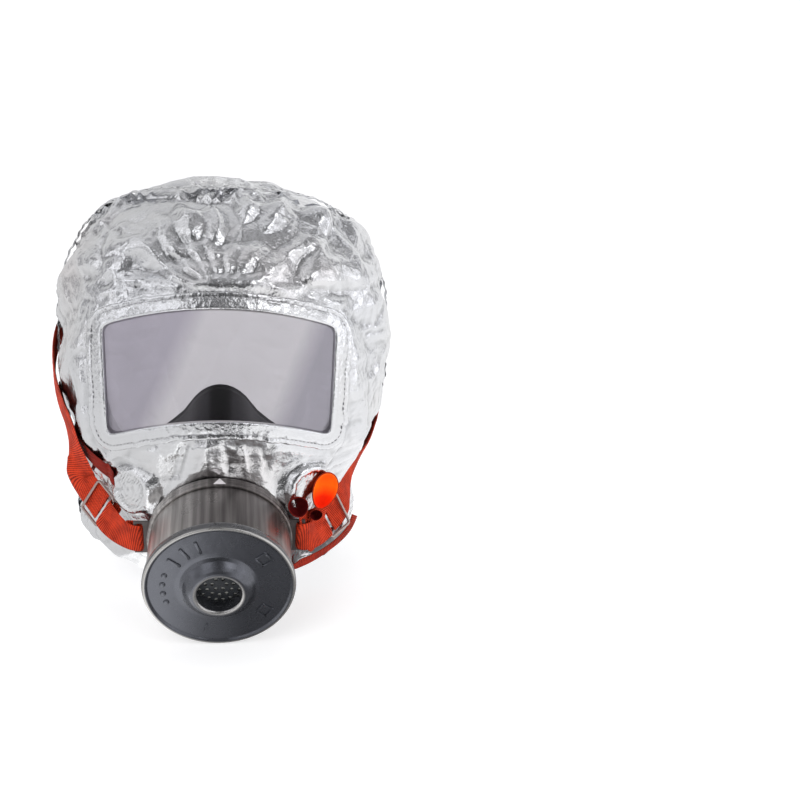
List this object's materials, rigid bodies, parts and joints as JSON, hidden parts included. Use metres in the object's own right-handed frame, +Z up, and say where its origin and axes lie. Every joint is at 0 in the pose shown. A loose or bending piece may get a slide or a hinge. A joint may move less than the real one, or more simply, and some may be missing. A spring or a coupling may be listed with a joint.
{
  "type": "smoke hood",
  "caption": "Aluminised escape hood with a curved window, inner half mask, filter canister (modelled as screw-on) and an elastic head harness with wire rings.",
  "frame": {"origin": "on the axis of the neck opening, 18 mm below the hem, in the plane the hood stands on (the lowest point of the canister rim)", "axes": "+Z up, the face looks along -Y, +X is the viewer's right from the front"},
  "size_m": [0.2235, 0.2747, 0.2667],
  "materials": {
    "foil_cloth": "aluminised, crinkled, mirror-bright",
    "seam_tape": "aluminised, puckered",
    "visor_film": "clear polymer film, grey tint",
    "seal_tape": "matte",
    "elastic": "woven elastic",
    "mask_rubber": "satin",
    "black_plastic": "glossy moulded",
    "cover_plastic": "matte",
    "silicone": "translucent silicone",
    "steel": "zinc plated",
    "index_paint": "pale",
    "felt": "soft felt",
    "filter_paper": "pleated glass-fibre paper",
    "desiccant": "granular",
    "catalyst": "granular",
    "carbon": "granular",
    "gasket_rubber": "satin",
    "webbing": "ribbed elastic webbing",
    "dark_webbing": "ribbed elastic webbing",
    "ring_wire": "bright drawn wire"
  },
  "bodies": {
    "hood": {"hood_face_panel": "foil_cloth", "hood_back_panel": "foil_cloth", "crown_seam_binding": "seam_tape", "visor_pane": "visor_film", "visor_frame_strip": "foil_cloth", "visor_seal_strip": "seal_tape", "neck_hem": "foil_cloth", "neck_elastic": "elastic", "neck_seal_collar": "seal_tape", "half_mask": "mask_rubber", "mask_face_lip": "mask_rubber", "mask_connector": "black_plastic", "inhalation_seat": "black_plastic", "inhalation_stud": "silicone", "exhalation_seat_left": "black_plastic", "exhalation_seat_right": "black_plastic", "exhalation_cover_left": "cover_plastic", "exhalation_cover_right": "cover_plastic", "harness_yoke": "black_plastic", "clamp_ring": "black_plastic", "index_mark": "index_paint", "short_strap_left": "webbing", "short_strap_right": "webbing", "head_strap_left": "webbing", "head_strap_right": "webbing", "strap_joint_patch": "dark_webbing", "strap_tail_left": "dark_webbing", "strap_tail_right": "webbing"},
    "inhalation_flap": {"inhalation_flap": "silicone"},
    "exhalation_flap_left": {"exhalation_flap_left": "silicone"},
    "exhalation_flap_right": {"exhalation_flap_right": "silicone"},
    "ring_left": {"wire_ring_left": "ring_wire", "strap_loop_left": "webbing"},
    "ring_right": {"wire_ring_right": "ring_wire", "strap_loop_right": "webbing"},
    "canister_gasket": {"canister_gasket": "gasket_rubber"},
    "canister": {"canister_shell": "black_plastic", "canister_lid": "black_plastic", "lid_marks": "black_plastic", "intake_grille": "black_plastic", "dust_felt": "felt", "particulate_filter": "filter_paper", "bed_screens": "steel", "desiccant_bed": "desiccant", "catalyst_bed": "catalyst", "carbon_bed": "carbon", "bed_spring": "steel", "canister_rear_plate": "black_plastic"}
  },
  "joints": [
    {"name": "inhalation_flap_lift", "type": "slide", "parent": "hood", "child": "inhalation_flap", "axis": [0, 0.9494, 0.314], "range_m": [0, 0.0021]},
    {"name": "exhalation_flap_left_lift", "type": "slide", "parent": "hood", "child": "exhalation_flap_left", "axis": [-0.5433, -0.8366, -0.0698], "range_m": [0, 0.0015]},
    {"name": "exhalation_flap_right_lift", "type": "slide", "parent": "hood", "child": "exhalation_flap_right", "axis": [0.5433, -0.8366, -0.0698], "range_m": [0, 0.0015]},
    {"name": "ring_left_hinge", "type": "hinge", "parent": "hood", "child": "ring_left", "pos_m": [-0.0715, -0.0795, 0.0645], "axis": [0.4948, -0.2436, 0.8342], "range_deg": [-6, 20]},
    {"name": "ring_right_hinge", "type": "hinge", "parent": "hood", "child": "ring_right", "pos_m": [0.0655, -0.0835, 0.058], "axis": [0.4346, 0.044, -0.8996], "range_deg": [-6, 20]},
    {"name": "canister_advance", "type": "slide", "parent": "hood", "child": "canister_gasket", "axis": [0, -0.9494, -0.314], "range_m": [0, 0.00726]},
    {"name": "canister_unscrew", "type": "hinge", "parent": "canister_gasket", "child": "canister", "pos_m": [0, -0.12099, 0.05232], "axis": [0, -0.9494, -0.314], "range_deg": [0, 720]}
  ],
  "couplings": [
    {"joint": "canister_advance", "follows": "canister_unscrew", "m_per_rad": 0.00057773}
  ]
}
